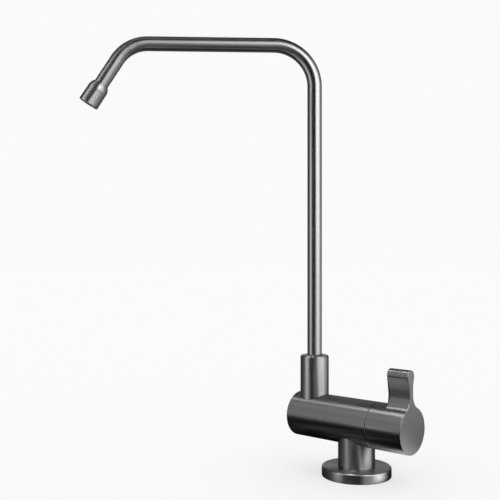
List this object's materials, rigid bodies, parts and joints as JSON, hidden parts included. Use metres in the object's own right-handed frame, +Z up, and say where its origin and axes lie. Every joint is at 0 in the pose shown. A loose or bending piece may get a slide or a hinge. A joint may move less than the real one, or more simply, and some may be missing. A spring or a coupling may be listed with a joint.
{
  "type": "drinking water filter tap",
  "caption": "Deck-mounted drinking water tap: tall swivelling tube spout with an angled aerator nozzle, a level round body on a flanged pedestal and a quarter-turn lever at the body's end.",
  "frame": {"origin": "centre of the threaded inlet hole at the flange's underside, which stands on the deck", "axes": "+Z up; the spout at rest points along -X; the body lies level at 45 degrees, its lever end towards +X and -Y"},
  "size_m": [0.2266, 0.0849, 0.296],
  "materials": {
    "gunmetal_steel": "brushed, dark grey coating",
    "bright_steel": "plain machined stainless steel",
    "brass": "machined",
    "white_ceramic": "lapped",
    "black_rubber": "matt",
    "dark_acetal": "matt",
    "pale_nylon": "satin"
  },
  "bodies": {
    "tap_body": {"base_flange": "gunmetal_steel", "base_gasket": "black_rubber", "pedestal_column": "gunmetal_steel", "valve_body": "gunmetal_steel", "rear_body": "gunmetal_steel", "body_joint_seal": "black_rubber", "spout_collar": "gunmetal_steel", "spout_guide_bush": "dark_acetal", "spout_retaining_screw": "bright_steel", "cartridge_body": "brass", "cartridge_o_ring": "black_rubber", "cartridge_seat_seal": "black_rubber", "fixed_ceramic_disc": "white_ceramic", "handle_glide_ring": "pale_nylon"},
    "handle": {"lever_handle": "gunmetal_steel", "handle_set_screw": "bright_steel", "spindle": "brass", "turning_ceramic_disc": "white_ceramic", "spindle_o_ring": "black_rubber", "spindle_circlip": "bright_steel"},
    "spout": {"spout_tube": "gunmetal_steel", "spout_ferrule": "brass", "ferrule_o_rings": "black_rubber", "nozzle_housing": "gunmetal_steel", "aerator_seal": "black_rubber", "aerator_insert": "pale_nylon", "aerator_screen": "bright_steel", "aerator_retaining_ring": "bright_steel"}
  },
  "joints": [
    {"name": "handle_turn", "type": "hinge", "parent": "tap_body", "child": "handle", "pos_m": [0, 0, 0.0355], "axis": [0.7071, -0.7071, 0], "range_deg": [-3, 87]},
    {"name": "spout_swivel", "type": "hinge", "parent": "tap_body", "child": "spout", "pos_m": [-0.02475, 0.02475, 0.07], "axis": [0, 0, 1], "continuous": true}
  ]
}
